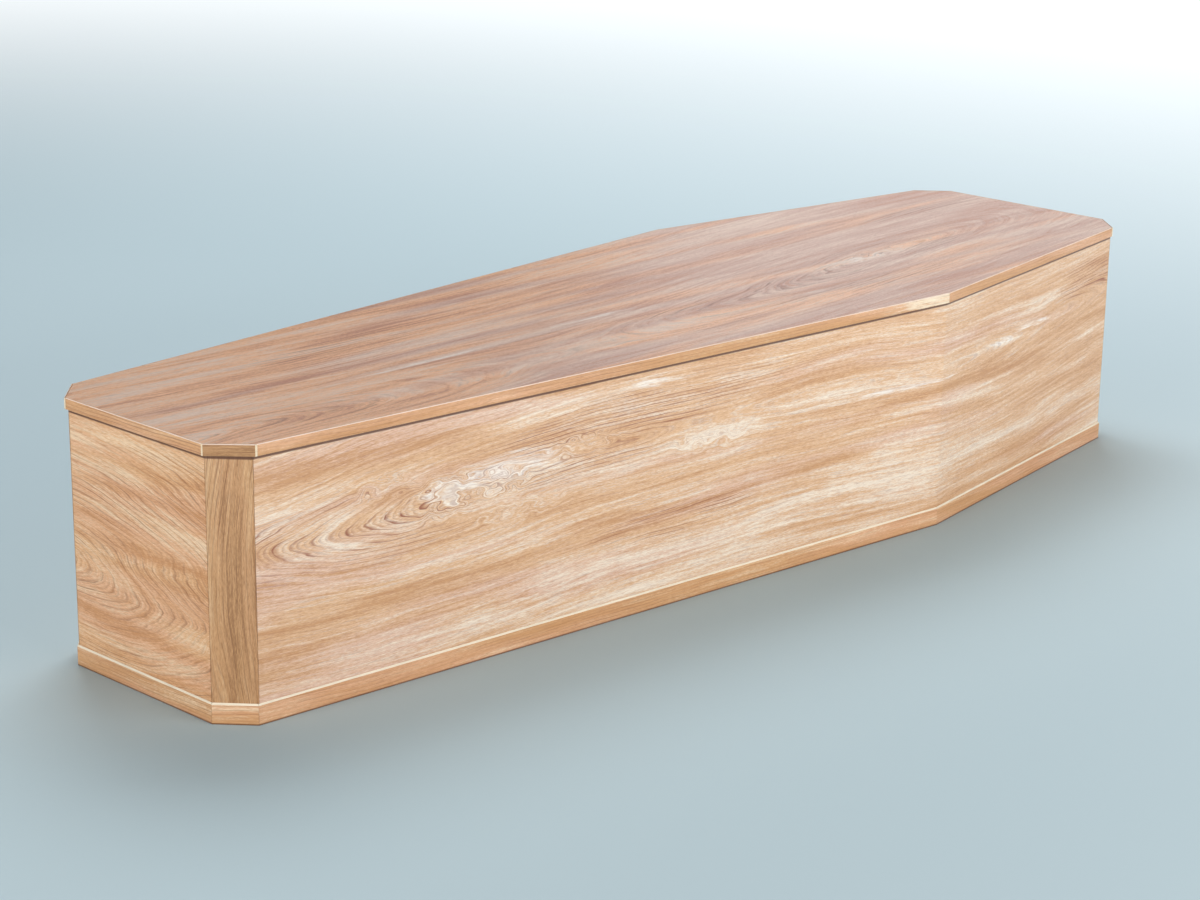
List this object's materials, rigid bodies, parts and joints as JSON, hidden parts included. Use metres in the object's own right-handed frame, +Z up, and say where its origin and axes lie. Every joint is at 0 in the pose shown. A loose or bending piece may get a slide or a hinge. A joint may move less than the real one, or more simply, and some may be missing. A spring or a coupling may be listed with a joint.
{
  "type": "wooden coffin",
  "caption": "Closed coffin in oak-faced board, tapered from the shoulders to head and foot, with cut corners, a low plinth and a flat lift-off lid.",
  "frame": {"origin": "on the ground, under the middle of the coffin's length and width", "axes": "+X towards the head end, +Y towards the left side seen from the foot end, +Z up"},
  "size_m": [1.98, 0.622, 0.382],
  "materials": {
    "lid_oak": "satin, pinkish oak grain along the lid",
    "side_oak": "satin, light oak grain along the wall",
    "post_oak": "satin, darker oak with upright grain",
    "edge_oak": "satin, plain oak edge strip",
    "inner_board": "matt, plain board"
  },
  "bodies": {
    "root": {"floor_board": "inner_board", "side_panel_right": "side_oak", "side_panel_left": "side_oak", "head_end_panel": "side_oak", "foot_end_panel": "side_oak", "corner_post_foot_right": "post_oak", "corner_post_head_right": "post_oak", "corner_post_head_left": "post_oak", "corner_post_foot_left": "post_oak", "plinth_strip_foot_corner_right": "edge_oak", "plinth_strip_side_right_lower": "edge_oak", "plinth_strip_side_right_upper": "edge_oak", "plinth_strip_head_corner_right": "edge_oak", "plinth_strip_head_end": "edge_oak", "plinth_strip_head_corner_left": "edge_oak", "plinth_strip_side_left_upper": "edge_oak", "plinth_strip_side_left_lower": "edge_oak", "plinth_strip_foot_corner_left": "edge_oak", "plinth_strip_foot_end": "edge_oak", "lid_panel": "lid_oak", "lid_edge_band_foot_corner_right": "edge_oak", "lid_edge_band_side_right_lower": "edge_oak", "lid_edge_band_side_right_upper": "edge_oak", "lid_edge_band_head_corner_right": "edge_oak", "lid_edge_band_head_end": "edge_oak", "lid_edge_band_head_corner_left": "edge_oak", "lid_edge_band_side_left_upper": "edge_oak", "lid_edge_band_side_left_lower": "edge_oak", "lid_edge_band_foot_corner_left": "edge_oak", "lid_edge_band_foot_end": "edge_oak"}
  },
  "joints": []
}
